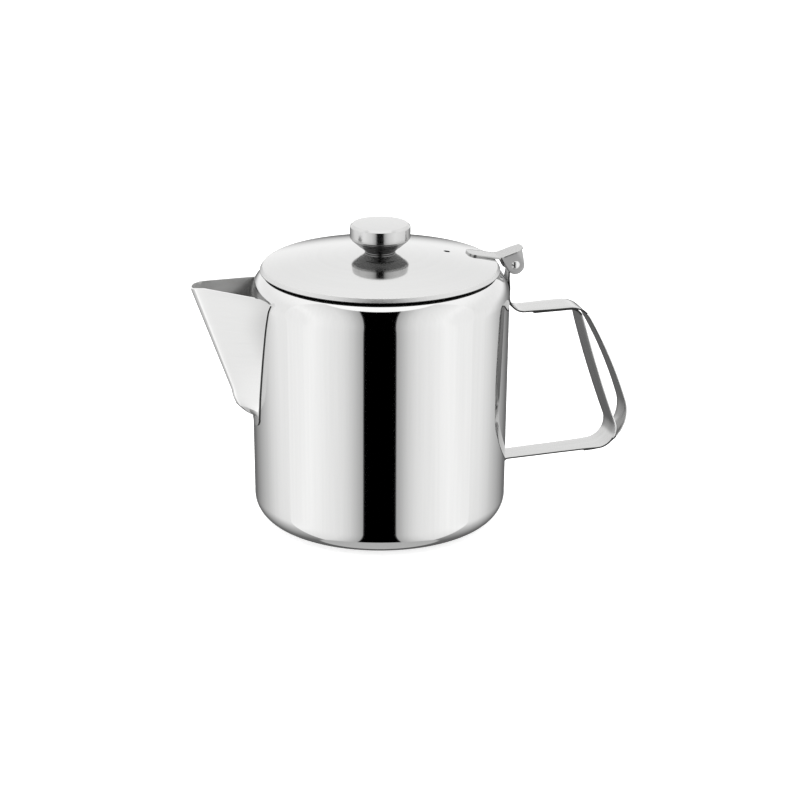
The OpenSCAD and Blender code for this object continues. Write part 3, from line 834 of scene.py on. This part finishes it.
def build_world():
    """A plain white studio with a dark panel on the camera's side, as a function of direction only.

    Its tones were set so that the steel's reflections look right from the camera's side.
    """
    world = bpy.data.worlds.new("studio")
    bpy.context.scene.world = world
    world.use_nodes = True
    nodes, links = world.node_tree.nodes, world.node_tree.links
    nodes.clear()

    def math_node(operation, a, b=None):
        node = nodes.new("ShaderNodeMath")
        node.operation = operation
        for i, value in enumerate((a, b)):
            if value is None:
                continue
            if isinstance(value, (int, float)):
                node.inputs[i].default_value = value
            else:
                links.new(value, node.inputs[i])
        return node.outputs[0]

    def step(value, low, high, start=0.0, end=1.0):
        node = nodes.new("ShaderNodeMapRange")
        node.interpolation_type = "SMOOTHSTEP"
        links.new(value, node.inputs["Value"])
        for key, number in (("From Min", low), ("From Max", high), ("To Min", start), ("To Max", end)):
            node.inputs[key].default_value = number
        return node.outputs["Result"]

    def mixed(factor, a, b):
        node = nodes.new("ShaderNodeMix")
        node.data_type = "FLOAT"
        links.new(factor, node.inputs["Factor"])
        for key, value in (("A", a), ("B", b)):
            if isinstance(value, (int, float)):
                node.inputs[key].default_value = value
            else:
                links.new(value, node.inputs[key])
        return node.outputs["Result"]

    direction = nodes.new("ShaderNodeTexCoord").outputs["Generated"]

    def along_axis(axis):
        node = nodes.new("ShaderNodeVectorMath")
        node.operation = "DOT_PRODUCT"
        node.inputs[1].default_value = axis
        links.new(direction, node.inputs[0])
        return node.outputs["Value"]

    forward, side, up = along_axis(CAMERA_DIRECTION), along_axis(CAMERA_SIDE), along_axis((0, 0, 1))
    lateral = math_node("ABSOLUTE", side)
    folded = math_node("ARCSINE", math_node("MINIMUM", lateral, 1.0))
    behind = math_node("LESS_THAN", forward, 0.0)
    angle = mixed(behind, folded, math_node("SUBTRACT", math.pi, folded))
    ramp = nodes.new("ShaderNodeValToRGB")
    links.new(math_node("DIVIDE", angle, math.pi), ramp.inputs["Fac"])
    stops = ramp.color_ramp.elements
    while len(stops) < len(TONES):
        stops.new(0.5)
    for stop, (degrees, tone) in zip(stops, TONES):
        stop.position = degrees / 180
        stop.color = (tone, tone, tone, 1)
    band = ramp.outputs["Color"]
    # Behind the pot the sky takes over above the horizon. A lamp is overhead, a grey table underneath.
    sky = step(up, 0.30, 0.75, 0.80, 0.92)
    lifted = mixed(math_node("MULTIPLY", behind, step(up, -0.15, 0.12)), band, sky)
    topped = mixed(step(up, 0.865, 0.885), lifted, 1.0)
    floored = mixed(step(up, -0.90, -0.88), 0.42, topped)

    light = nodes.new("ShaderNodeBackground")
    links.new(floored, light.inputs["Color"])
    light.inputs["Strength"].default_value = LIGHT_STRENGTH
    white = nodes.new("ShaderNodeBackground")
    white.inputs["Color"].default_value = (1, 1, 1, 1)  # seen straight by the camera, behind the pot
    pick = nodes.new("ShaderNodeMixShader")
    links.new(nodes.new("ShaderNodeLightPath").outputs["Is Camera Ray"], pick.inputs["Fac"])
    links.new(light.outputs[0], pick.inputs[1])
    links.new(white.outputs[0], pick.inputs[2])
    out = nodes.new("ShaderNodeOutputWorld")
    links.new(pick.outputs[0], out.inputs["Surface"])


def build_floor():
    """A pale floor just under the pot, left out of the steel's reflections."""
    bm = bmesh.new()
    corners = [bm.verts.new((x * FLOOR_HALF, y * FLOOR_HALF, FLOOR_Z))
               for x, y in ((-1, -1), (1, -1), (1, 1), (-1, 1))]
    bm.faces.new(corners)
    bmesh.ops.scale(bm, vec=(MM, MM, MM), verts=bm.verts)
    mesh = bpy.data.meshes.new("floor")
    bm.to_mesh(mesh)
    bm.free()
    floor = bpy.data.objects.new("floor", mesh)
    bpy.context.scene.collection.objects.link(floor)
    m = bpy.data.materials.new("floor_white")
    m.use_nodes = True
    shader = m.node_tree.nodes["Principled BSDF"]
    shader.inputs["Base Color"].default_value = (0.9, 0.9, 0.9, 1)
    shader.inputs["Roughness"].default_value = 0.9
    shader.inputs["Specular IOR Level"].default_value = 0.0
    shader.inputs["Emission Color"].default_value = (1, 1, 1, 1)
    shader.inputs["Emission Strength"].default_value = FLOOR_GLOW
    floor.data.materials.append(m)
    floor.visible_glossy = False


def build_camera():
    data = bpy.data.cameras.new("camera")
    data.sensor_width = 36.0
    data.lens = CAMERA_LENS
    data.clip_end = 100
    camera = bpy.data.objects.new("camera", data)
    bpy.context.scene.collection.objects.link(camera)
    camera.location = CAMERA_PLACE * MM
    camera.rotation_euler = (CAMERA_TARGET - CAMERA_PLACE).to_track_quat("-Z", "Y").to_euler()
    camera.rotation_euler.rotate_axis("Z", CAMERA_ROLL)
    bpy.context.scene.camera = camera


build_world()
build_floor()
build_camera()
bpy.context.scene.view_settings.view_transform = "Standard"

bpy.context.view_layer.update()
